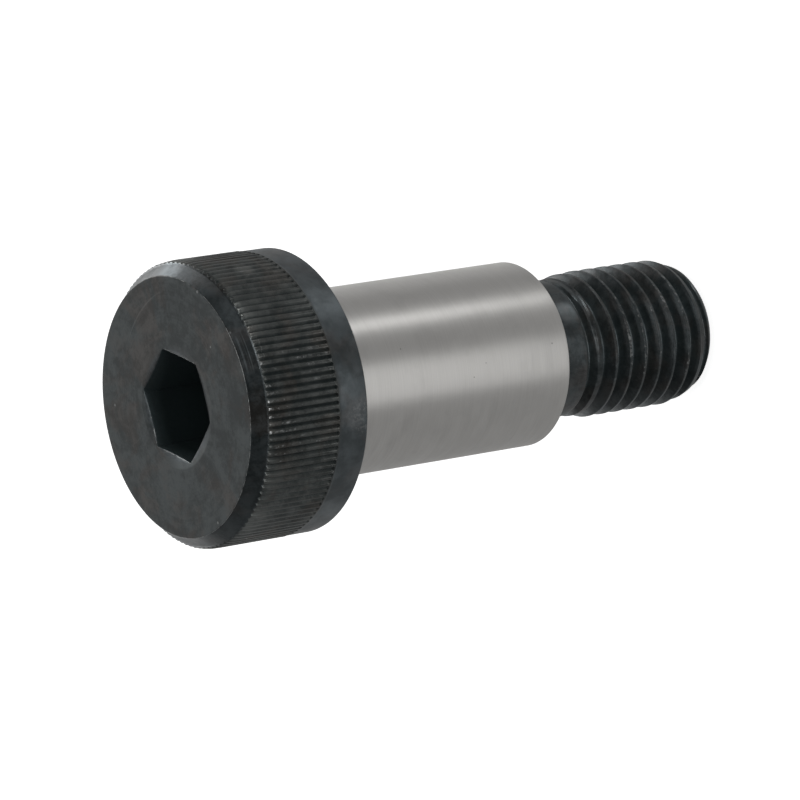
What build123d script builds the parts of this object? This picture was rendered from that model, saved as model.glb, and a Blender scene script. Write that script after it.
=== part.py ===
from build123d import *
from math import atan, cos, degrees, radians, tan
import os

# A hexagon socket head shoulder bolt with an M16 thread: turned, knurled, broached and
# ground from one bar, with a rolled thread. Millimetres. It is modelled along its own
# axis, with the head's outer face at height 0 and the thread pointing up. It is then
# turned over to stand on its thread's end, with a corner of the hexagon on the X axis.
# Angles round the axis count from the line where the revolved blank begins, which the
# thread's run-out keeps clear of.

# Head
head_diameter = 30.0             # over the plain collar behind the knurl
head_height = 13.8
knurl_step = 0.37                # how far the teeth stand above the chamfer in front of them
head_chamfer = 1.05              # how much the chamfer takes off the radius
head_chamfer_angle = 37.5        # from the axis
collar_width = 3.6
collar_edge = 0.25

# Straight knurl
knurl_rise = 0.07                # how far the teeth stand out of the collar
knurl_depth = 0.33
knurl_teeth = 118
knurl_turn = 1.69                # the first groove's angle round the axis
knurl_flank_angle = 72           # between the two flanks of a groove
knurl_end_slope = 60             # at which a groove climbs out of the metal
knurl_margin = 0.06              # from the grooves' ends to the step down to the collar

# Hexagon socket
socket_across_flats = 10.0
socket_depth = 9.0
socket_turn = 26                 # the first corner's angle round the axis
socket_bevel = 1.3               # how far the bevelled mouth reaches past the flats
socket_bevel_angle = 160
drill_gap = 0.1                  # between the drilled hole's wall and a flat
drill_point_angle = 120

# Ground shoulder, with the grinding groove under the head
shoulder_diameter = 19.96
shoulder_length = 30.1
shoulder_edge = 0.2
groove_depth = 0.27
groove_width = 2.5
groove_corner = 0.3              # the sloped corner between its floor and the head

# Thread, rolled on a neck that is a little thicker than the pitch cylinder
thread_diameter = 16.0
thread_pitch = 2.0
thread_flank_angle = 60
thread_length = 22.0             # from the shoulder's end face to the bolt's end
crest_loss = 0.07                # by which the rolled crests miss the nominal radius
neck_allowance = 0.1             # by which the neck's radius passes the pitch radius
neck_corner = 0.35               # the sloped corner between the neck and the shoulder
groove_start = 4.75              # from the shoulder's end face to the first full depth
groove_start_turn = 229          # the angle round the axis there
run_out_turn = 95                # over which the groove comes down to that depth
crest_delay = 0.8                # from there to where the crests begin to rise
crest_start_slope = 30

# Point
taper_length = 2.3
taper_slope = 20
point_edge = 0.6
spare_turns = 2.2                # of thread on the bar that is parted off beyond the point

tool_reach = 0.3                 # how far a cutting tool reaches past the metal

knurl_radius = head_diameter / 2 + knurl_rise
knurl_end = head_height - collar_width
sharp_height = thread_pitch / 2 / tan(radians(thread_flank_angle / 2))
crest_radius = thread_diameter / 2 - crest_loss
neck_radius = thread_diameter / 2 - 3 / 8 * sharp_height + neck_allowance
root_radius = thread_diameter / 2 - 17 / 24 * sharp_height
sharp_root_radius = thread_diameter / 2 - 7 / 8 * sharp_height
shoulder_end = head_height + shoulder_length
first_groove = shoulder_end + groove_start
bolt_end = shoulder_end + thread_length
taper_start = bolt_end - point_edge - taper_length
bar_end = bolt_end + spare_turns * thread_pitch


def head_corners():
    """Half outline of the head, from the middle of its face to the grinding groove."""
    collar_radius = head_diameter / 2
    face_radius = knurl_radius - knurl_step - head_chamfer
    chamfer_end = head_chamfer / tan(radians(head_chamfer_angle))
    return [
        (0, 0),
        (face_radius, 0),
        (face_radius + head_chamfer, chamfer_end),
        (knurl_radius, chamfer_end),
        (knurl_radius, knurl_end),
        (collar_radius, knurl_end),
        (collar_radius, head_height - collar_edge),
        (collar_radius - collar_edge, head_height),
    ]


def shoulder_corners():
    """Half outline of the grinding groove and the shoulder, up to its end face."""
    shoulder_radius = shoulder_diameter / 2
    floor_radius = shoulder_radius - groove_depth
    groove_end = head_height + groove_width
    return [
        (floor_radius + groove_corner, head_height),
        (floor_radius, head_height + groove_corner),
        (floor_radius, groove_end - groove_depth),
        (shoulder_radius, groove_end),
        (shoulder_radius, shoulder_end - shoulder_edge),
        (shoulder_radius - shoulder_edge, shoulder_end),
    ]


def shank_corners():
    """Half outline of the neck and of the cylinder that the crests lie on."""
    rise_start = first_groove + crest_delay
    rise_length = (crest_radius - neck_radius) / tan(radians(crest_start_slope))
    return [
        (neck_radius + neck_corner, shoulder_end),
        (neck_radius, shoulder_end + neck_corner),
        (neck_radius, rise_start),
        (crest_radius, rise_start + rise_length),
        (crest_radius, bar_end),
        (0, bar_end),
    ]


def turned_blank():
    """The bolt and its spare bar before it is knurled, broached, threaded and pointed."""
    corners = head_corners() + shoulder_corners() + shank_corners()
    outline = make_face(Polyline(*corners, close=True))
    return revolve(Plane.XZ * outline, Axis.Z)


def upright_cone(radius, angle):
    """A cone on the plane z = 0 with its point up; angle is the whole angle there."""
    height = radius / tan(radians(angle / 2))
    return Cone(radius, 0, height, align=(Align.CENTER, Align.CENTER, Align.MIN))


def hexagon_socket():
    """The broached hexagon, its bevelled mouth and the drill point at its bottom."""
    flat_radius = socket_across_flats / 2
    hexagon = Rot(0, 0, socket_turn) * RegularPolygon(flat_radius, 6, major_radius=False)
    prism = extrude(Pos(0, 0, -tool_reach) * hexagon, socket_depth + tool_reach)
    mouth_growth = tool_reach * tan(radians(socket_bevel_angle / 2))
    mouth = upright_cone(flat_radius + socket_bevel + mouth_growth, socket_bevel_angle)
    drill_point = upright_cone(flat_radius - drill_gap, drill_point_angle)
    return prism + Pos(0, 0, -tool_reach) * mouth + Pos(0, 0, socket_depth) * drill_point


def knurl_groove():
    """One V groove of the knurl, which climbs out of the metal at the collar."""
    floor_radius = knurl_radius - knurl_depth
    height = knurl_depth + tool_reach
    half_width = height * tan(radians(knurl_flank_angle / 2))
    section = make_face(
        Polyline(
            (floor_radius, 0),
            (floor_radius + height, half_width),
            (floor_radius + height, -half_width),
            close=True,
        )
    )
    climb_slope = tan(radians(knurl_end_slope))
    climb_start = knurl_end - knurl_margin - knurl_depth / climb_slope
    climb_end = climb_start + height / climb_slope
    straight = extrude(Pos(0, 0, -tool_reach) * section, climb_start + tool_reach)
    tip = Vertex(floor_radius + height, 0, climb_end)
    return straight + loft([Pos(0, 0, climb_start) * section, tip])


def thread_path():
    """The line of the groove's root: down a cone over the run-out, then at full depth."""
    drop = neck_radius + tool_reach - root_radius
    run_out_length = thread_pitch * run_out_turn / 360
    cone_angle = degrees(atan(drop / run_out_length))
    run_out = Helix(
        thread_pitch / cos(radians(cone_angle)),
        run_out_length,
        root_radius + drop,
        cone_angle=-cone_angle,
    )
    run_out_start = Pos(0, 0, first_groove - run_out_length)
    run_out_angle = Rot(0, 0, groove_start_turn - run_out_turn)
    full_depth = Helix(thread_pitch, bolt_end + thread_pitch - first_groove, root_radius)
    full_start = Pos(0, 0, first_groove) * Rot(0, 0, groove_start_turn)
    return Wire([run_out_start * run_out_angle * run_out.edge(), full_start * full_depth.edge()])


def thread_groove():
    """The V groove with its flat root, from the run-out until it has passed the point."""
    flank = tan(radians(thread_flank_angle / 2))
    root_half = (root_radius - sharp_root_radius) * flank
    height = crest_radius + tool_reach - root_radius
    mouth_half = root_half + height * flank
    section = make_face(
        Polyline(
            (0, -root_half),
            (height, -mouth_half),
            (height, mouth_half),
            (0, root_half),
            close=True,
        )
    )
    path = thread_path()
    start = path @ 0
    across = Plane(start, x_dir=Vector(start.X, start.Y, 0), z_dir=path % 0)
    return sweep(across * section, path=path, is_frenet=True)


def point_waste():
    """What comes off beyond the thread's end, to leave its taper and its edge."""
    taper_radius = crest_radius - taper_length * tan(radians(taper_slope))
    corners = Polyline(
        (crest_radius, taper_start),
        (crest_radius + tool_reach, taper_start),
        (crest_radius + tool_reach, bar_end + tool_reach),
        (0, bar_end + tool_reach),
        (0, bolt_end),
        (taper_radius - point_edge, bolt_end),
        (taper_radius, bolt_end - point_edge),
        close=True,
    )
    return revolve(Plane.XZ * make_face(corners), Axis.Z)


def stood_up(bolt):
    """Turned over to stand on its thread's end, over the origin."""
    return Pos(0, 0, bolt_end) * Rot(180, 0, 0) * Rot(0, 0, -socket_turn) * bolt


bolt = turned_blank()
bolt -= hexagon_socket()
bolt -= PolarLocations(0, knurl_teeth, knurl_turn) * knurl_groove()
bolt -= thread_groove()
bolt -= point_waste()
bolt = stood_up(bolt)

os.makedirs("parts", exist_ok=True)
export_step(bolt, "parts/shoulder_bolt.step")
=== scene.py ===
import math

import bpy
import numpy as np
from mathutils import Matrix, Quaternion, Vector

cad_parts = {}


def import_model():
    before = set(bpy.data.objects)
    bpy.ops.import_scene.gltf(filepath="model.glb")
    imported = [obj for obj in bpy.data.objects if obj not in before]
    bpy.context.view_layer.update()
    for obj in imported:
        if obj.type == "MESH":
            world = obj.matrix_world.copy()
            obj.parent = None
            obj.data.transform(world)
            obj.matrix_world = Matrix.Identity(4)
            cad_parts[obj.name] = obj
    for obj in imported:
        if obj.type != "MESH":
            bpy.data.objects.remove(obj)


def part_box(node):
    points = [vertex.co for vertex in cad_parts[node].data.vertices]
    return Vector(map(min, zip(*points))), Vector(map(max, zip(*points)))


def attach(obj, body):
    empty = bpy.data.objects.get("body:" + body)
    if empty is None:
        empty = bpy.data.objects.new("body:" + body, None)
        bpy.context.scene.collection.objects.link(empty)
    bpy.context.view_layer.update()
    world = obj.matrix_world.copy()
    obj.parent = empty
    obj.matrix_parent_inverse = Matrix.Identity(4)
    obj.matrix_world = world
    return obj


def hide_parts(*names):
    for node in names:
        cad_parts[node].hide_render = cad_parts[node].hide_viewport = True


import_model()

# Looks of a black-oxide shoulder bolt with a bare ground shoulder. It stands on its thread's end,
# as in the CAD frame. Sizes are in millimetres unless a name says otherwise, and are brought to
# metres when the mesh is made. "Down" is the distance below the head's outer face, and angles
# run anticlockwise as seen from above, from the line through a corner of the hexagon.

MM = 0.001
NODE = "shoulder_bolt"
LOWEST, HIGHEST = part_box(NODE)
LENGTH = (HIGHEST.z - LOWEST.z) / MM

# Head, with its chamfer, its straight knurl and its plain collar
FACE_RADIUS = 13.65
CHAMFER_RADIUS = 14.7
CHAMFER_END = 1.368
CREST_RADIUS = 15.07             # over the knurl's teeth
GROOVE_DEPTH = 0.33
GROOVE_HALF = 0.24               # half the width of a groove's mouth
GROOVE_LIP = 0.05                # the softened strip on either side of the mouth
TEETH = 118
TOOTH_PHASE = 1.43               # the angle of one tooth's middle, in degrees
TOOTH_LEAN = 0.2                 # by which a tooth's front end leans back
TOOTH_DROP = 0.12                # by which a crest is lower at its front end
TOOTH_SPREAD = 0.03              # by which one tooth may be lower than another
CLIMB = 0.58                     # how far a groove runs down for each millimetre that it climbs
KNURL_END = 10.2
COLLAR_RADIUS = 15.0
COLLAR_EDGE = 0.25
HEAD_HEIGHT = 13.8

# Socket
SOCKET_FLAT = 5.0                # from the axis to a wall
MOUTH_FLAT = 5.3                 # the same at the mouth
MOUTH_SHIFT = (0.09, -0.25)      # of the mouth's middle off the axis
SOCKET_DEPTH = 9.0
DRILL_GAP = 0.1                  # between the drilled hole and a wall
POINT_SLOPE = math.tan(math.radians(60))
BEVEL_RADIUS = 6.35
BEVEL_SLOPE = 5.67               # by which the bevel widens for each millimetre upwards
BEVEL_LEAST = 0.03               # the least depth of its edge

# Grinding groove, shoulder and neck
GRIND_RADIUS = 9.71
SHOULDER_START = 16.3
SHOULDER_RADIUS = 9.98
SHOULDER_END = 43.9
SHOULDER_EDGE = 0.2
NECK_RADIUS = 7.45

# Thread and point
PITCH = 2.0
THREAD_CREST = 7.93
THREAD_ROOT = 6.773
ROOT_HALF = 0.1667               # half the width of the groove's flat root
FLANK_SLOPE = 1 / math.tan(math.radians(30))
GROOVE_PHASE = 0.1889            # by which the groove at angle 0 lies below a whole turn
THREAD_TOP = 47.5                # where the rows that follow the helix begin
FULL_DEPTH_FROM = 48.65
RUN_OUT = 0.528                  # over which the groove comes down to its full depth
RISE_FROM = 49.45                # where the crests begin to rise out of the neck
RISE_SLOPE = 0.577
FIRST_CREST = 7.57               # the radius of the first ridge
FULL_CREST_FROM = 51.7
CREST_GROWTH = 1.4               # over which the ridge grows to its full height
TAPER_FROM = 63.0
TAPER_SLOPE = math.tan(math.radians(20))
POINT_FROM = 65.3

# Mesh
PLAIN_COLUMNS = 240
THREAD_COLUMNS = 180
PER_TOOTH = 10                   # columns to a tooth
ROUNDING_STEPS = 4
SNAP = 0.004                     # within which a point of the thread joins an end's ring
SHARP_FROM = math.radians(33)
OXIDE, GROUND = 0, 1             # the two finishes' places in the mesh

# Painted highlights and shade on the oxide: a point in millimetres, a size, and the change in sheen
PAINTED_LIGHT_PLACES = [
    ((11.6, -9.6, 59.9), 1.6, 0.6),
    ((7.25, -13.2, 64.3), 1.0, 0.6),
    ((-14.4, -4.2, 53.9), 4.2, 0.4),
    ((2.0, -14.9, 54.0), 3.0, -0.12),
    ((6.2, -13.7, 53.9), 3.5, 0.35),
    ((-5.3, -13.2, 65.2), 6.5, -0.22),
    ((-13.2, -5.1, 65.2), 4.5, 0.4),
    ((5.5, -13.1, 65.2), 4.5, 0.5),
    ((14.2, 0.3, 65.2), 8.0, 2.3),
    ((2.55, -7.0, 18.9), 2.0, 1.2),
]

# Small nicks in the oxide and dark specks on the ground shoulder: a point and a size
NICKS = [
    ((4.17, -9.05, LENGTH), 0.16),
    ((2.95, 11.03, LENGTH), 0.2),
    ((-12.9, -2.6, LENGTH), 0.2),
    ((10.0, -9.1, 65.85), 0.22),
    ((4.7, -13.0, 65.8), 0.2),
]
SPECKS = [
    ((-3.25, -9.44, 34.8), 0.12),
    ((-2.0, -9.78, 33.1), 0.1),
    ((-1.05, -9.92, 24.15), 0.14),
    ((0.83, -9.95, 43.5), 0.12),
]


def put_in_scene(thing):
    """Puts an object into the scene."""
    bpy.context.scene.collection.objects.link(thing)


# ---------------------------------------------------------------- surfaces

class Skin:
    """A closed surface gathered ring by ring, from the bottom of the socket to the thread's end."""

    def __init__(self):
        self.points = []
        self.worn = []
        self.hollow = []
        self.faces = []
        self.finishes = []
        self.count = 0

    def ring(self, angle, radius, down, worn=0.0, hollow=0.0, middle=(0.0, 0.0)):
        """Adds a ring of points: middle + radius (cos angle, sin angle) at LENGTH - down."""
        radius = np.broadcast_to(np.asarray(radius, float), angle.shape)
        down = np.broadcast_to(np.asarray(down, float), angle.shape)
        x = middle[0] + radius * np.cos(angle)
        y = middle[1] + radius * np.sin(angle)
        self.points.append(np.stack([x, y, LENGTH - down], 1))
        self.worn.append(np.broadcast_to(np.asarray(worn, float), angle.shape))
        self.hollow.append(np.broadcast_to(np.asarray(hollow, float), angle.shape))
        ids = self.count + np.arange(len(angle))
        self.count += len(angle)
        return ids, angle

    def add(self, faces, finish):
        """Keeps faces, as rows of three or four point numbers, with one finish."""
        self.faces.append(faces)
        self.finishes.append(np.full(len(faces), finish))

    def join(self, upper, lower, finish=OXIDE):
        """Joins two rings by quads, or, where their counts differ, by a strip of triangles in
        which the two rings' edges are taken in the order of their middles."""
        a, at = upper
        b, bt = lower
        if len(a) == len(b):
            self.add(np.stack([a, b, np.roll(b, -1), np.roll(a, -1)], 1), finish)
            return
        a_next, b_next = np.roll(a, -1), np.roll(b, -1)
        a_middle = at + np.diff(at, append=at[0] + 2 * np.pi) / 2
        b_middle = bt + np.diff(bt, append=bt[0] + 2 * np.pi) / 2
        beside_a = np.searchsorted(b_middle, a_middle) % len(b)
        beside_b = np.searchsorted(a_middle, b_middle) % len(a)
        self.add(np.stack([a, b[beside_a], a_next], 1), finish)
        self.add(np.stack([a[beside_b], b, b_next], 1), finish)

    def turn(self, angle, outline, last, finish=OXIDE):
        """Revolves an outline of (radius, down, wear) points on from the last ring."""
        for radius, down, worn in outline:
            ring = self.ring(angle, radius, down, worn)
            self.join(last, ring, finish)
            last = ring
        return last

    def close(self, ring, down, hollow, first):
        """Closes the surface with a fan of triangles from a ring to a pole on the axis. The
        fan that comes first, in the socket, runs the other way round from the last one, at the
        thread's end, so that both face outwards."""
        pole, _ = self.ring(np.zeros(1), 0.0, down, 0.0, hollow)
        ids = ring[0]
        after = np.roll(ids, -1)
        middle = np.full(len(ids), pole[0])
        order = [middle, ids, after] if first else [ids, middle, after]
        self.add(np.stack(order, 1), OXIDE)

    def drop_unused(self):
        """Leaves out the points that no face uses, and numbers the rest anew."""
        keep = np.zeros(self.count, bool)
        for faces in self.faces:
            keep[faces.ravel()] = True
        number = np.cumsum(keep) - 1
        self.faces = [number[faces] for faces in self.faces]
        self.points = [np.concatenate(self.points)[keep]]
        self.worn = [np.concatenate(self.worn)[keep]]
        self.hollow = [np.concatenate(self.hollow)[keep]]

    def mesh(self, name):
        """The Blender mesh in metres, with its wear and hollow attributes and sharp corners."""
        points = np.concatenate(self.points) * MM
        finishes = np.concatenate(self.finishes)
        loops = np.concatenate([faces.ravel() for faces in self.faces])
        sizes = np.concatenate([np.full(len(faces), faces.shape[1]) for faces in self.faces])
        starts = np.concatenate([[0], np.cumsum(sizes)[:-1]])
        mesh = bpy.data.meshes.new(name)
        mesh.vertices.add(len(points))
        mesh.vertices.foreach_set("co", points.astype(np.float32).ravel())
        mesh.loops.add(len(loops))
        mesh.loops.foreach_set("vertex_index", loops.astype(np.int32))
        mesh.polygons.add(len(sizes))
        mesh.polygons.foreach_set("loop_start", starts.astype(np.int32))
        mesh.polygons.foreach_set("material_index", finishes.astype(np.int32))
        for key, values in (("wear", self.worn), ("hollow", self.hollow)):
            layer = mesh.attributes.new(key, "FLOAT", "POINT")
            layer.data.foreach_set("value", np.concatenate(values).astype(np.float32))
        mesh.update(calc_edges=True)
        mesh.validate()
        mesh.shade_smooth()
        mesh.set_sharp_from_angle(angle=SHARP_FROM)
        return mesh


def evenly(count):
    """Angles of a ring of evenly spread columns."""
    return np.arange(count) * 2 * np.pi / count


def softened(corners, wear=1.0):
    """A polyline of (radius, down, rounding) corners whose rounded ones become the curve
    (1-t)^2 A + 2t(1-t) P + t^2 B between the points A and B at that distance from the corner P.
    Returns (radius, down, wear) points, worn most in the middle of a rounded corner."""
    points = []
    for i, (radius, down, rounding) in enumerate(corners):
        p = np.array([radius, down])
        if not rounding:
            points.append((radius, down, 0.0))
            continue
        before = np.array(corners[i - 1][:2]) - p
        after = np.array(corners[i + 1][:2]) - p
        a = p + before / np.linalg.norm(before) * rounding
        b = p + after / np.linalg.norm(after) * rounding
        for t in np.linspace(0, 1, ROUNDING_STEPS + 1):
            q = (1 - t) ** 2 * a + 2 * t * (1 - t) * p + t * t * b
            points.append((q[0], q[1], wear * math.sin(math.pi * t)))
    return points


def soft_least(a, b, softness):
    """The lesser of two values, with the corner between them rounded:
    -s log(exp(-a/s) + exp(-b/s))."""
    return -softness * np.logaddexp(-a / softness, -b / softness)


def soft_most(a, b, softness):
    """The greater of two values, with the corner between them rounded:
    s log(exp(a/s) + exp(b/s))."""
    return softness * np.logaddexp(a / softness, b / softness)


def hexagon(angle, flat):
    """The radius flat / cos(t mod 60 - 30) of a hexagon's wall at each angle t."""
    return flat / np.cos(np.mod(angle, np.pi / 3) - np.pi / 6)


def socket(skin):
    """The drill point, the hexagon's floor and walls, and its bevelled mouth. The bevel's cone
    meets the walls higher at a corner, at down = (bevel - wall) / slope. Towards the mouth the
    walls open a little, and the mouth lies a little off the axis. Returns the ring on the face."""
    angle = evenly(PLAIN_COLUMNS)
    wall = hexagon(angle, SOCKET_FLAT)
    mouth = hexagon(angle, MOUTH_FLAT)
    edge = np.maximum((BEVEL_RADIUS - mouth) / BEVEL_SLOPE, BEVEL_LEAST)
    drilled = SOCKET_FLAT - DRILL_GAP
    # Inside the socket the hollow value paints shade on the walls and drill point by taking most of their
    # sheen away; it also greys their colour
    ring = skin.ring(angle, drilled, SOCKET_DEPTH, 0.0, 0.4)
    skin.close(ring, SOCKET_DEPTH + drilled / POINT_SLOPE, 0.4, True)
    half = np.minimum((mouth + BEVEL_RADIUS) / 2, BEVEL_RADIUS - 0.06)
    most_rubbed = math.radians(140)
    edge_wear = 0.7 + 0.2 * np.cos(angle - most_rubbed)
    rows = [
        # radius, down, wear, hollow, share of the mouth's shift
        (wall, SOCKET_DEPTH, 0.0, 0.8, 0.0),
        (wall, 4.0, 0.0, 1.0, 0.0),
        (wall, 1.6, 0.0, 0.8, 0.0),
        (wall + 0.4 * (mouth - wall), 0.9, 0.0, 0.6, 0.4),
        (mouth - 0.03, edge + 0.16, 0.0, 0.6, 1.0),
        (mouth, edge + 0.03, edge_wear, 0.6, 1.0),
        (mouth + 0.05, edge - 0.01, edge_wear, 0.0, 1.0),
        (half, edge / 2 + 0.003, 0.1, 0.0, 1.0),
        (BEVEL_RADIUS - 0.05, 0.009, 0.12, 0.0, 1.0),
        (BEVEL_RADIUS + 0.04, 0.002, 0.12, 0.0, 1.0),
        (BEVEL_RADIUS + 0.16, 0.0, 0.0, 0.0, 1.0),
        (FACE_RADIUS - 0.5, 0.0, 0.0, 0.0, 0.0),
    ]
    for radius, down, worn, hollow, share in rows:
        middle = (share * MOUTH_SHIFT[0], share * MOUTH_SHIFT[1])
        lower = skin.ring(angle, radius, down, worn, hollow, middle)
        skin.join(ring, lower)
        ring = lower
    return ring


def knurl_columns():
    """Angles of ten columns to a tooth, and the share of the groove's depth that each lies
    below the crest: a V groove with a blunt root, softened upper edges and a crest that bulges
    a little."""
    pitch = 2 * math.pi / TEETH
    half = GROOVE_HALF / CREST_RADIUS
    lip = GROOVE_LIP / CREST_RADIUS
    rising = np.array([0, 0.4 * half, 0.8 * half, half + 0.2 * lip, half + lip])
    steps = np.concatenate([rising, [pitch / 2], pitch - rising[:0:-1]])
    below = np.array([0.88, 0.6, 0.2, 0.05, 0.015, 0, 0.015, 0.05, 0.2, 0.6])
    start = math.radians(TOOTH_PHASE) - pitch / 2
    angle = (np.arange(TEETH)[:, None] * pitch + steps[None, :] + start).ravel()
    return angle, np.tile(below, TEETH)


def head_side(skin, ring):
    """The face's rim, the chamfer, the front of the knurl, its teeth and its grooves that climb
    out of the metal, the collar and the underside's edge. A tooth's front end leans back with
    its height. Its crest rises over the first stretch by nearly drop * (1 - (1 - t)^2), while
    the groove's root stays almost level. Returns the ring on the underside."""
    angle, below = knurl_columns()
    rng = np.random.default_rng(7)
    tired = np.repeat(rng.uniform(0, TOOTH_SPREAD, TEETH), PER_TOOTH)
    blunt = np.repeat(rng.uniform(0.6, 1.0, TEETH), PER_TOOTH)
    rim = [
        (FACE_RADIUS - 0.4, 0, 0),
        (FACE_RADIUS, 0, 0.09),
        (CHAMFER_RADIUS - 0.05, CHAMFER_END - 0.065, 0),
        (CHAMFER_RADIUS, CHAMFER_END, 0),
    ]
    ring = skin.turn(angle, softened(rim), ring)

    height = 1 - below

    def tooth(drop):
        """The radius of each column where the crest is lower by a drop."""
        return CREST_RADIUS - GROOVE_DEPTH + (GROOVE_DEPTH - drop - tired) * height

    full = tooth(0.0)
    front = tooth(TOOTH_DROP)
    lean = TOOTH_LEAN * (front - CHAMFER_RADIUS) / (CREST_RADIUS - CHAMFER_RADIUS)
    start = CHAMFER_END + lean
    lead = CHAMFER_END + TOOTH_LEAN
    climb = KNURL_END - 0.06 - GROOVE_DEPTH * CLIMB
    rise = CREST_RADIUS - tired - full
    # The teeth's front ends are rubbed through most on two opposite sides, and this wear also paints their
    # glints there
    least_wear_and_glint = math.radians(-24)
    tip = 1.02 * height ** 3 * blunt * (0.75 - 0.25 * np.cos(2 * (angle - least_wear_and_glint)))
    edge_wear = 0.72 * height ** 3
    # In the grooves the hollow value paints shade by taking most of the sheen away; it also greys the
    # colour
    dark = 0.22 * below
    rows = [
        # radius, down, wear, hollow
        (front - 0.02, start - 0.01, tip, dark),
        (front + 0.01, start + 0.05, tip, dark),
        (tooth(0.075), lead + 0.2, edge_wear, dark),
        (tooth(0.035), lead + 0.45, edge_wear, dark),
        (tooth(0.01), lead + 0.75, edge_wear, dark),
        (full, lead + 1.1, edge_wear, dark),
        (full, 5.5, edge_wear, dark),
        (full, climb, edge_wear, dark),
        (full + rise / 2, climb + rise * CLIMB / 2 + 0.01, edge_wear, dark),
        (CREST_RADIUS - tired, climb + rise * CLIMB + 0.02, 0.8 * height, 0.1 * below),
        (CREST_RADIUS - tired, KNURL_END - 0.02, 0.62, 0.0),
        (COLLAR_RADIUS + 0.02, KNURL_END + 0.01, 0.4, 0.0),
        (COLLAR_RADIUS, KNURL_END + 0.05, 0.0, 0.0),
    ]
    for radius, down, worn, hollow in rows:
        lower = skin.ring(angle, radius, down, worn, hollow)
        skin.join(ring, lower)
        ring = lower
    collar = [
        (COLLAR_RADIUS, KNURL_END + 0.3, 0),
        (COLLAR_RADIUS, HEAD_HEIGHT - COLLAR_EDGE, 0.1),
        (COLLAR_RADIUS - COLLAR_EDGE, HEAD_HEIGHT, 0.08),
        (COLLAR_RADIUS - 0.6, HEAD_HEIGHT, 0),
    ]
    return skin.turn(angle, softened(collar, wear=0.8), ring)


def shoulder(skin, ring):
    """The underside, the grinding groove, the ground shoulder and its end face, revolved."""
    angle = evenly(PLAIN_COLUMNS)
    groove = [
        (COLLAR_RADIUS - 1.0, HEAD_HEIGHT, 0),
        (GRIND_RADIUS + 0.3, HEAD_HEIGHT, 0.1),
        (GRIND_RADIUS, HEAD_HEIGHT + 0.3, 0.1),
        (GRIND_RADIUS, SHOULDER_START - 0.27, 0.08),
        (SHOULDER_RADIUS, SHOULDER_START, 0),
    ]
    ring = skin.turn(angle, softened(groove, wear=0.2), ring)
    ground = [
        (SHOULDER_RADIUS, SHOULDER_START + 0.1, 0),
        (SHOULDER_RADIUS, 25.0, 0),
        (SHOULDER_RADIUS, 35.0, 0),
        (SHOULDER_RADIUS, SHOULDER_END - SHOULDER_EDGE, 0.06),
        (SHOULDER_RADIUS - SHOULDER_EDGE, SHOULDER_END, 0.06),
        (SHOULDER_RADIUS - 0.5, SHOULDER_END, 0),
    ]
    return skin.turn(angle, softened(ground, wear=0.0), ring, GROUND)


def thread_radius(down, centre):
    """The radius at a distance down, in the groove whose middle is at centre. The V groove is
    root + max(0, |down - centre| - root_half) * flank_slope, lifted over the run-out. It is never
    more than the blank: the neck, the rise to the crests, and the taper and edge of the point.
    The crest grows along the helix, as first + (full - first) * share, where share goes from 0
    to 1 over CREST_GROWTH and ends where the ridge beside the groove is at FULL_CREST_FROM."""
    off = soft_most(np.abs(down - centre) - ROOT_HALF, 0 * down, 0.03)
    shallow = np.clip((FULL_DEPTH_FROM - centre) / RUN_OUT, 0, 3)
    lift = shallow * (NECK_RADIUS + 0.3 - THREAD_ROOT)
    vee = THREAD_ROOT - 0.02 * FLANK_SLOPE + lift + off * FLANK_SLOPE
    ridge = centre + np.sign(down - centre) * PITCH / 2
    young = np.clip((FULL_CREST_FROM - ridge) / CREST_GROWTH, 0, 1)
    crest = THREAD_CREST - (THREAD_CREST - FIRST_CREST) * young
    blank = np.clip(NECK_RADIUS + (down - RISE_FROM) * RISE_SLOPE, NECK_RADIUS, crest)
    taper = THREAD_CREST - (down - TAPER_FROM) * TAPER_SLOPE
    point = THREAD_CREST - (POINT_FROM - TAPER_FROM) * TAPER_SLOPE - (down - POINT_FROM)
    blank = soft_least(soft_least(blank, taper, 0.02), point, 0.03)
    return soft_least(vee, blank, 0.025)


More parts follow.
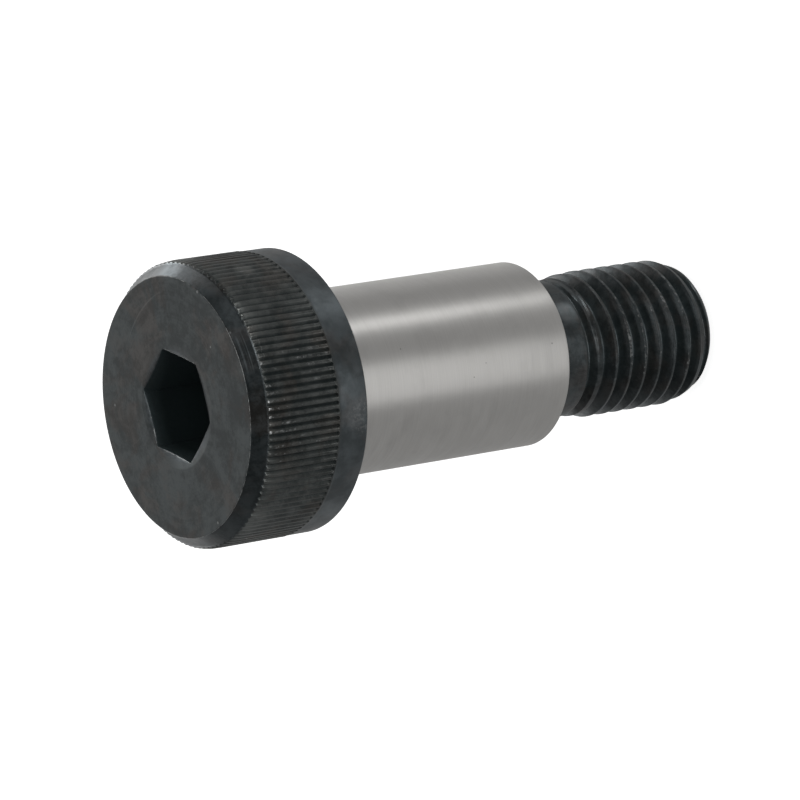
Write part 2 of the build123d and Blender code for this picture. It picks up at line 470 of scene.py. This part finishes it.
def thread(skin, ring):
    """The neck and the thread. Its rows follow the helix: row q at an angle t lies at
    down = PITCH * turn + offset + GROOVE_PHASE - PITCH * t / 2 pi, so the row beside the last
    column is the one a whole turn back. Rows past either end fall on that end's ring, which
    makes some quads triangles and leaves others with no area, and those are left out."""
    angle = evenly(THREAD_COLUMNS)
    neck = [
        (9.0, SHOULDER_END, 0),
        (NECK_RADIUS + 0.35, SHOULDER_END, 0.1),
        (NECK_RADIUS, SHOULDER_END + 0.35, 0.15),
        (NECK_RADIUS, 45.5, 0),
        (NECK_RADIUS, 46.6, 0),
    ]
    ring = skin.turn(angle, softened(neck, wear=0.1), ring)
    side = np.array([0.07, 0.12, 0.155, 0.19, 0.25, 0.38, 0.53, 0.68, 0.76, 0.8, 0.83, 0.86, 0.91])
    offset = np.concatenate([[-1.0], -side[::-1], [0.0], side])
    per_turn = len(offset)
    turn = np.arange(math.floor(THREAD_TOP / PITCH) - 1, math.ceil(LENGTH / PITCH) + 2)
    level = (PITCH * turn[:, None] + offset[None, :] * PITCH / 2).ravel()
    wrapped = GROOVE_PHASE - PITCH * angle / (2 * np.pi)
    down = level[:, None] + wrapped[None, :]
    centre = np.repeat(PITCH * turn, per_turn)[:, None] + wrapped[None, :]
    radius = thread_radius(down, centre)
    gap = np.abs(down - centre)
    worn = 0.755 * np.clip((gap - 0.7) / 0.13, 0, 1) * np.clip((radius - 7.5) / 0.3, 0, 1)
    # Towards the root the hollow value paints shade on the thread by taking sheen away; it also greys the
    # colour
    hollow = 0.22 * np.clip(1 - (radius - THREAD_ROOT) / 0.9, 0, 1) * (down > 48)

    upper = skin.ring(angle, NECK_RADIUS, THREAD_TOP)
    skin.join(ring, upper)
    rows, columns = down.shape
    base = skin.count
    kept_down = np.clip(down, THREAD_TOP, LENGTH)
    skin.ring(np.tile(angle, rows), radius.ravel(), kept_down.ravel(), worn.ravel(), hollow.ravel())
    lower = skin.ring(angle, thread_radius(LENGTH + 0 * angle, LENGTH + 1.0), LENGTH, 0.3)
    ids = base + np.arange(rows * columns).reshape(rows, columns)
    ids = np.where(down <= THREAD_TOP + SNAP, upper[0][None, :], ids)
    ids = np.where(down >= LENGTH - SNAP, lower[0][None, :], ids)
    beside = np.concatenate([ids[:, 1:], np.roll(ids[:, :1], per_turn, 0)], 1)
    quads = np.stack([ids[:-1], ids[1:], beside[1:], beside[:-1]], 2)[per_turn:].reshape(-1, 4)
    same = quads == np.roll(quads, -1, 1)
    skin.add(quads[~same.any(1)], OXIDE)
    for corner in range(4):
        pick = same[:, corner] & (same.sum(1) == 1)
        skin.add(np.delete(quads[pick], corner, 1), OXIDE)
    inner = skin.turn(angle, [(5.6, LENGTH, 0.0), (3.0, LENGTH, 0.0)], lower)
    skin.close(inner, LENGTH, 0.0, False)


def build_bolt():
    """The whole bolt as one closed surface."""
    skin = Skin()
    ring = socket(skin)
    ring = head_side(skin, ring)
    ring = shoulder(skin, ring)
    thread(skin, ring)
    skin.drop_unused()
    bolt = bpy.data.objects.new("bolt", skin.mesh("bolt"))
    put_in_scene(bolt)
    return bolt


# ---------------------------------------------------------------- finishes

class Graph:
    """A material's node graph, with short calls for the nodes used here."""

    def __init__(self, name):
        self.material = bpy.data.materials.new(name)
        self.material.use_nodes = True
        self.tree = self.material.node_tree
        self.tree.nodes.clear()
        self.output = self.tree.nodes.new("ShaderNodeOutputMaterial")

    def node(self, kind, settings=None, **inputs):
        """A node with its settings, and its inputs set to a constant or linked to a socket. An
        input is called by its name, with _ for a space, or by i and its number."""
        node = self.tree.nodes.new(kind)
        for key, value in (settings or {}).items():
            setattr(node, key, value)
        for key, value in inputs.items():
            numbered = key[0] == "i" and key[1:].isdigit()
            name = int(key[1:]) if numbered else key.replace("_", " ")
            self.give(node.inputs[name], value)
        return node

    def give(self, socket, value):
        """Links a socket, or sets its constant."""
        if isinstance(value, bpy.types.NodeSocket):
            self.tree.links.new(value, socket)
        else:
            socket.default_value = value

    def finish(self, shader):
        """The material, with a shader as its surface."""
        self.give(self.output.inputs[0], shader.outputs[0])
        return self.material

    def math(self, operation, a, b=0.0):
        """One sum of one or two values."""
        return self.node("ShaderNodeMath", {"operation": operation}, i0=a, i1=b).outputs[0]

    def plus(self, first, *others):
        """The sum of its values, from left to right."""
        for other in others:
            first = self.math("ADD", first, other)
        return first

    def minus(self, a, b):
        """The first value less the second."""
        return self.math("SUBTRACT", a, b)

    def times(self, first, *others):
        """The product of its values, from left to right."""
        for other in others:
            first = self.math("MULTIPLY", first, other)
        return first

    def most(self, a, b):
        """The greater of two values."""
        return self.math("MAXIMUM", a, b)

    def blend(self, factor, a, b, how="MIX"):
        """The colour a, going over to b, or to a times b, as factor goes from 0 to 1."""
        node = self.node("ShaderNodeMix", {"data_type": "RGBA", "blend_type": how})
        self.give(node.inputs[0], factor)
        self.give(node.inputs[6], a)
        self.give(node.inputs[7], b)
        return node.outputs[2]

    def spread(self, value, low, high, to_low=0.0, to_high=1.0):
        """The value's range from low to high brought to another range, smoothly and clamped."""
        node = self.node("ShaderNodeMapRange", {"interpolation_type": "SMOOTHSTEP"}, Value=value,
                         From_Min=low, From_Max=high, To_Min=to_low, To_Max=to_high)
        return node.outputs[0]

    def band(self, value, start, full, fade, end):
        """1 from full to fade, going to 0 at start and at end."""
        return self.times(self.spread(value, start, full), self.spread(value, end, fade))

    def mixed(self, factor, a, b):
        """The value a, going over to b as factor goes from 0 to 1."""
        return self.node("ShaderNodeMix", i0=factor, i2=a, i3=b).outputs[0]

    def parts(self, vector):
        """A vector's three values."""
        return self.node("ShaderNodeSeparateXYZ", i0=vector).outputs[:3]

    def along(self, value):
        """A vector that changes with one value only, for a noise in stripes."""
        return self.node("ShaderNodeCombineXYZ", i0=value, i1=0.0, i2=0.0).outputs[0]

    def grey(self, value):
        """The grey of a value."""
        return self.node("ShaderNodeCombineColor", i0=value, i1=value, i2=value).outputs[0]

    def shifted(self, vector, amount):
        """The point moved along all three axes, for a noise that differs from another."""
        node = self.node("ShaderNodeVectorMath", {"operation": "ADD"}, i0=vector)
        node.inputs[1].default_value = (amount, amount, amount)
        return node.outputs[0]

    def away(self, point, middle):
        """The distance from a place given in millimetres."""
        node = self.node("ShaderNodeVectorMath", {"operation": "DISTANCE"}, i0=point)
        node.inputs[1].default_value = middle
        return node.outputs["Value"]

    def near(self, point, middle, size, ragged):
        """1 at a place in millimetres, falling to 0 over a size, with a ragged edge."""
        reach = self.times(self.away(point, middle), self.plus(ragged, 0.6))
        return self.spread(reach, size, size * 0.4)

    def millimetres(self, stretch=(1, 1, 1)):
        """The point on the object in millimetres, with each axis scaled."""
        where = self.node("ShaderNodeTexCoord").outputs["Object"]
        node = self.node("ShaderNodeMapping", {"vector_type": "POINT"}, Vector=where)
        node.inputs["Scale"].default_value = [s / MM for s in stretch]
        return node.outputs[0]

    def noise(self, vector, scale, detail=3.0, roughness=0.55, distortion=0.0):
        """Cloudy noise from 0 to 1; scale is in lumps to the millimetre."""
        node = self.node("ShaderNodeTexNoise", Vector=vector, Scale=scale, Detail=detail,
                         Roughness=roughness, Distortion=distortion)
        return node.outputs[0]

    def attribute(self, name):
        """A value that the mesh carries at its points."""
        return self.node("ShaderNodeAttribute", {"attribute_name": name}).outputs["Fac"]

    def round_axis(self):
        """The direction round the upright axis, along which the metal was turned or ground."""
        return self.node("ShaderNodeTangent", {"direction_type": "RADIAL", "axis": "Z"}).outputs[0]


def colour(r, g, b):
    """An opaque colour."""
    return (r, g, b, 1.0)


class OxideGraph(Graph):
    """The black oxide's graph, with the zones and noises that its parts share. A zone is 1 on
    its part of the bolt and 0 elsewhere."""

    def __init__(self):
        super().__init__("black_oxide_steel")
        self.point = self.millimetres()
        x, y, z = self.parts(self.point)
        self.radius = self.math("SQRT", self.plus(self.times(x, x), self.times(y, y)))
        self.down = self.minus(LENGTH, z)
        self.side = self.spread(self.down, 0.03, 0.12)
        self.teeth = self.zone(CHAMFER_END + 0.012, CHAMFER_END + 0.132, KNURL_END - 0.1, KNURL_END + 0.05)
        self.collar = self.zone(KNURL_END - 0.1, KNURL_END + 0.05, HEAD_HEIGHT - 0.1, HEAD_HEIGHT + 0.1)
        self.neck = self.zone(SHOULDER_END + 0.1, SHOULDER_END + 0.4, THREAD_TOP + 0.1, THREAD_TOP + 1.1)
        self.clouds = self.noise(self.point, 0.20, 4.0, 0.62, 0.8)
        self.patches = self.noise(self.point, 0.85, 4.0, 0.68, 0.4)
        self.grains = self.noise(self.point, 3.5, 3.0, 0.7)
        self.turned = self.noise(self.along(self.radius), 1.5, 4.0, 0.7)
        # Painted shade on the leaning front ends of the teeth, over one stretch of the head, dimming their
        # lit reflection
        fronts = self.zone(CHAMFER_END - 0.048, CHAMFER_END + 0.032, 1.7, 2.0)
        self.painted_front_shade = self.times(fronts, self.at((8.6, -12.3, 64.3), 8.5, self.clouds))

    def zone(self, start, full, fade, end):
        """A zone between two distances down."""
        return self.band(self.down, start, full, fade, end)

    def at(self, middle, size, ragged):
        """1 at a place in millimetres, falling to 0 over a size, with a ragged edge."""
        return self.near(self.point, middle, size, ragged)

    def sheen(self):
        """How strongly the oxide reflects: mottled, smoother on the collar, with a scratch, a scuff and a
        darker patch, and with painted highlights and painted shade: a brighter bevel, listed places on
        the knurl, collar, chamfer and neck, and darker tooth fronts and first crest of the thread."""
        point, side, patches = self.point, self.side, self.patches
        streaks = self.noise(self.millimetres((1.0, 1.0, 0.1)), 1.5, 3.0, 0.65)
        drifts = self.noise(self.shifted(point, 7.0), 0.33, 4.0, 0.6)
        scored = self.noise(self.along(self.down), 4.0, 2.0, 0.6)
        mottle = self.plus(self.times(self.clouds, 0.38), self.times(patches, 0.33),
                           self.times(self.grains, 0.13),
                           self.times(self.mixed(side, self.turned, streaks), 0.16))
        on_face = self.spread(mottle, 0.42, 0.58, 0.40, 0.88)
        on_side = self.spread(mottle, 0.42, 0.58, 0.45, 0.95)
        on_collar = self.plus(self.spread(drifts, 0.36, 0.64, 0.7, 1.3),
                              self.spread(patches, 0.4, 0.6, 0.0, 0.12))
        sheen = self.mixed(self.collar, self.mixed(side, on_face, on_side), on_collar)

        # Painted highlight on one side of the socket's bevel
        painted_bevel_highlight = self.times(self.spread(self.radius, 6.55, 6.3),
                                  self.at((-5.6, -0.9, LENGTH), 6.0, self.clouds))
        sheen = self.plus(sheen, self.times(painted_bevel_highlight, 0.55))
        off_arc = self.math("ABSOLUTE", self.minus(self.away(point, (-0.87, -2.79, LENGTH)), 12.62))
        scratch = self.times(self.spread(off_arc, 0.12, 0.02),
                             self.at((10.7, 1.9, LENGTH), 6.0, patches))
        sheen = self.plus(sheen, self.times(scratch, 0.36))
        shade = self.at((9.9, -4.2, LENGTH), 3.5, patches)
        sheen = self.minus(sheen, self.times(shade, 0.08))
        # Painted highlights and painted shade at the listed places on the knurl, collar, chamfer and neck
        for where, size, amount in PAINTED_LIGHT_PLACES:
            sheen = self.plus(sheen, self.times(self.at(where, size, patches), side, amount))
        scuff = self.times(self.at((2.2, -14.0, 65.3), 3.0, patches),
                           self.spread(scored, 0.5, 0.6))
        sheen = self.plus(sheen, self.times(scuff, 1.3))
        # Painted shade on the tooth fronts
        sheen = self.minus(sheen, self.times(self.painted_front_shade, 0.5))
        sheen = self.plus(sheen, self.times(self.neck, 0.02))
        on_thread = self.spread(self.down, THREAD_TOP + 0.1, THREAD_TOP + 1.1, 0.0, 0.06)
        sheen = self.plus(sheen, on_thread)
        # Painted shade where the thread's first crest rises out of the neck
        painted_rise_shade = self.zone(RISE_FROM - 0.25, RISE_FROM + 0.05, RISE_FROM + 0.75, RISE_FROM + 1.15)
        return self.minus(sheen, self.times(painted_rise_shade, 0.25))

    def bare(self):
        """How far the oxide is rubbed through to the metal: on worn edges, in nicks, in specks on the
        collar, and in one patch on the chamfer, which is a painted highlight."""
        rub = self.plus(self.times(self.noise(self.point, 1.9, 4.0, 0.7), 0.8),
                        self.times(self.noise(self.point, 0.17, 1.0), 0.5))
        held = self.at((-4.0, -14.4, 58.5), 7.0, self.clouds)
        rub = self.plus(rub, self.times(held, 0.085))
        bare = self.spread(self.times(self.attribute("wear"), rub), 0.53, 0.68, 0.0, 0.75)
        for where, size in NICKS:
            bare = self.most(bare, self.times(self.at(where, size, self.patches), 0.6))
        # Under the painted shade on the tooth fronts, less bare metal shows
        bare = self.times(bare, self.minus(1.0, self.times(self.painted_front_shade, 0.7)))
        # Painted highlight on the chamfer, as a patch of bare metal
        painted_chamfer_highlight = self.times(self.at((14.2, 0.8, 65.2), 5.0, self.clouds), self.side)
        bare = self.most(bare, self.times(painted_chamfer_highlight, self.spread(self.patches, 0.3, 0.7, 0.4, 0.8)))
        specks = self.times(self.at((-6.0, -13.75, 52.8), 2.6, self.clouds),
                            self.spread(self.grains, 0.5, 0.6))
        return self.most(bare, self.times(specks, 0.22))

    def colours(self, bare):
        """The colour of the surface and the colour of its sheen: clouded in teal and brown, bluish off
        the knurl, with a rusty spot on the face, greyer in hollows and bright where the metal is bare.
        The sheen carries painted highlights and painted shade, and painted shade takes it out of hollows."""
        hue = self.noise(self.shifted(self.point, 31.0), 0.26, 3.0, 0.55, 0.6)
        brown = self.spread(hue, 0.46, 0.66)
        hollow = self.attribute("hollow")
        blued = self.times(self.side, self.minus(1.0, self.teeth))
        blued = self.times(blued, self.spread(self.down, 44.0, 48.0, 1.0, 0.5))
        tint = self.blend(brown, colour(0.89, 1.0, 1.02), colour(1.0, 0.975, 0.945))
        tint = self.blend(self.times(self.teeth, 0.6), tint, colour(1.0, 1.0, 0.93))
        tint = self.blend(self.times(blued, 0.75), tint, colour(0.82, 0.93, 1.0))
        tint = self.blend(1.0, self.grey(self.sheen()), tint, "MULTIPLY")
        # Painted shade: hollows lose most of their sheen
        tint = self.blend(self.times(hollow, 0.8), tint, colour(0.1, 0.12, 0.12))
        tint = self.blend(bare, tint, colour(1.0, 1.0, 1.0))

        base = self.blend(brown, colour(0.0078, 0.0103, 0.0106), colour(0.0125, 0.0115, 0.0100))
        greyed = self.spread(self.patches, 0.55, 0.8, 0.0, 0.7)
        base = self.blend(greyed, base, colour(0.017, 0.0158, 0.016))
        rust = self.at((3.0, -11.5, LENGTH), 1.3, self.patches)
        base = self.blend(self.times(rust, 0.5), base, colour(0.030, 0.019, 0.014))
        base = self.blend(self.times(hollow, 0.85), base, colour(0.060, 0.083, 0.088))
        base = self.blend(bare, base, colour(0.34, 0.35, 0.35))
        return base, tint


def black_oxide():
    """Black oxide over steel: a dark skin, clouded in teal and brown, with a soft oily sheen. It is
    rubbed through to the metal on the edges that get handled, and has a few nicks."""
    g = OxideGraph()
    bare = g.bare()
    base, tint = g.colours(bare)
    rough = g.mixed(g.neck, g.spread(g.patches, 0.3, 0.7, 0.30, 0.42), 0.34)
    lathed = g.most(g.times(g.neck, 0.85), g.times(g.collar, 0.7))
    grain = g.plus(g.noise(g.point, 9.0, 2.0, 0.6), g.times(g.turned, 0.6))
    bump = g.node("ShaderNodeBump", Strength=0.25, Distance=0.02 * MM, Height=grain)
    shader = g.node("ShaderNodeBsdfPrincipled", Base_Color=base, Roughness=rough, IOR=1.9,
                    Specular_Tint=tint, Metallic=g.times(bare, 0.9),
                    Anisotropic=lathed, Anisotropic_Rotation=0.25,
                    Normal=bump.outputs[0], Tangent=g.round_axis())
    return g.finish(shader)


def ground_steel():
    """Bare steel ground round and round: fine lines round the axis, which spread a reflection
    along the axis and keep it sharp round it, and a few dark specks."""
    g = Graph("ground_steel")
    point = g.millimetres()
    lines = g.noise(g.millimetres((0.12, 0.12, 9.0)), 1.0, 4.0, 0.7)
    broad = g.noise(g.millimetres((0.25, 0.25, 1.2)), 1.0, 2.0)
    blots = g.noise(point, 0.35, 3.0, 0.6)
    base = g.blend(g.spread(lines, 0.25, 0.75), colour(0.63, 0.62, 0.60), colour(0.68, 0.67, 0.65))
    base = g.blend(g.spread(blots, 0.5, 0.7, 0.0, 0.13), base, colour(0.45, 0.44, 0.43))
    for where, size in SPECKS:
        speck = g.times(g.near(point, where, size, broad), 0.55)
        base = g.blend(speck, base, colour(0.12, 0.11, 0.10))
    rough = g.spread(broad, 0.3, 0.7, 0.36, 0.42)
    bump = g.node("ShaderNodeBump", Strength=0.08, Distance=0.01 * MM, Height=lines)
    shader = g.node("ShaderNodeBsdfPrincipled", Base_Color=base, Metallic=1.0, Roughness=rough,
                    Anisotropic=0.85, Anisotropic_Rotation=0.25,
                    Normal=bump.outputs[0], Tangent=g.round_axis())
    return g.finish(shader)


# ---------------------------------------------------------------- studio

FLOOR_HALF = 3.0                 # metres
FLOOR_LEVEL = -0.02 * MM         # a hair under the bolt, so that the two don't share a plane
MIDDLE = Vector((0, 0, 0.033))   # metres; what the lights point at

LENS = 248.52                    # millimetres, on a sensor 36 wide
AIM = Vector((-0.00297, 0.0, 0.03805))   # metres
AIM_DISTANCE = 0.58452           # metres, from the aim to the camera
CAMERA_TURN = math.radians(-8.47)
CAMERA_RAISE = math.radians(35.25)
CAMERA_ROLL = math.radians(-99.18)


def floor():
    """A pale floor that the camera sees as white, but for the bolt's own shadow."""
    g = Graph("floor")
    seen = g.node("ShaderNodeLightPath").outputs["Is Camera Ray"]
    matt = g.node("ShaderNodeBsdfDiffuse", Color=colour(0.8, 0.8, 0.8))
    glow = g.node("ShaderNodeEmission", Color=colour(1, 1, 1), Strength=0.85)
    lit = g.node("ShaderNodeAddShader", i0=matt.outputs[0], i1=glow.outputs[0])
    dim = g.node("ShaderNodeEmission", Color=colour(1, 1, 1), Strength=0.36)
    both = g.node("ShaderNodeMixShader", i0=seen, i1=dim.outputs[0], i2=lit.outputs[0])
    around = ((-1, -1), (1, -1), (1, 1), (-1, 1))
    corners = [(x * FLOOR_HALF, y * FLOOR_HALF, FLOOR_LEVEL) for x, y in around]
    mesh = bpy.data.meshes.new("floor")
    mesh.from_pydata(corners, [], [(0, 1, 2, 3)])
    mesh.materials.append(g.finish(both))
    plane = bpy.data.objects.new("floor", mesh)
    put_in_scene(plane)


def panel(name, azimuth, elevation, distance, width, height, strength):
    """A soft light at an angle round the bolt and above its middle, in degrees, facing it, with
    its distance and size in metres. Its watts are pi * area * strength, so strength is how
    bright it looks in a mirror."""
    light = bpy.data.lights.new(name, "AREA")
    light.shape = "RECTANGLE"
    light.size = width
    light.size_y = height
    light.energy = math.pi * width * height * strength
    lamp = bpy.data.objects.new(name, light)
    a, e = math.radians(azimuth), math.radians(elevation)
    way = Vector((math.cos(a) * math.cos(e), math.sin(a) * math.cos(e), math.sin(e)))
    lamp.location = MIDDLE + way * distance
    lamp.rotation_mode = "QUATERNION"
    lamp.rotation_quaternion = (-way).to_track_quat("-Z", "Y")
    put_in_scene(lamp)


def lights():
    """Soft panels round the bolt: a broad one beside the camera and a narrow strip, for the two
    bright lines down the shoulder; one behind, which the head's face mirrors; one at each side,
    for the bolt's two edges; a small one higher up, which the thread's flanks mirror; and one
    overhead."""
    panel("front", -108.6, 0, 0.5, 0.40, 0.25, 3.8)
    panel("strip", -40.3, 0, 0.5, 0.10, 0.25, 10.2)
    panel("behind", 81, 35, 0.6, 0.6, 0.5, 0.45)
    panel("side", 36, 5, 0.6, 0.72, 0.3, 1.45)
    panel("flanks", 46, 25, 0.6, 0.17, 0.17, 3.8)
    panel("far_side", 106, 0, 0.6, 0.26, 0.24, 2.4)
    panel("overhead", 0, 89, 0.7, 0.5, 0.5, 1.3)


def world():
    """White to the camera and a soft grey to everything else."""
    made = bpy.data.worlds.new("studio")
    made.use_nodes = True
    tree = made.node_tree
    tree.nodes.clear()
    seen = tree.nodes.new("ShaderNodeLightPath")
    grey = tree.nodes.new("ShaderNodeBackground")
    white = tree.nodes.new("ShaderNodeBackground")
    grey.inputs["Color"].default_value = colour(0.12, 0.12, 0.12)
    white.inputs["Color"].default_value = colour(1, 1, 1)
    mix = tree.nodes.new("ShaderNodeMixShader")
    out = tree.nodes.new("ShaderNodeOutputWorld")
    tree.links.new(seen.outputs["Is Camera Ray"], mix.inputs[0])
    tree.links.new(grey.outputs[0], mix.inputs[1])
    tree.links.new(white.outputs[0], mix.inputs[2])
    tree.links.new(mix.outputs[0], out.inputs[0])
    bpy.context.scene.world = made


def camera():
    """A long lens that looks down on the standing bolt from in front, rolled onto its side."""
    data = bpy.data.cameras.new("camera")
    data.sensor_width = 36.0
    data.lens = LENS
    data.clip_start = 0.05
    data.clip_end = 20.0
    eye = bpy.data.objects.new("camera", data)
    level = math.cos(CAMERA_RAISE)
    back = Vector((math.sin(CAMERA_TURN) * level, -math.cos(CAMERA_TURN) * level, math.sin(CAMERA_RAISE)))
    eye.location = AIM + back * AIM_DISTANCE
    eye.rotation_mode = "QUATERNION"
    roll = Quaternion((0, 0, 1), CAMERA_ROLL)
    eye.rotation_quaternion = (-back).to_track_quat("-Z", "Y") @ roll
    put_in_scene(eye)
    bpy.context.scene.camera = eye


# ---------------------------------------------------------------- scene

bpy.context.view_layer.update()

bolt = build_bolt()
bolt.data.materials.append(black_oxide())
bolt.data.materials.append(ground_steel())
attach(bolt, "root")
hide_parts(NODE)

floor()
lights()
world()
camera()

scene = bpy.context.scene
scene.view_settings.view_transform = "Standard"
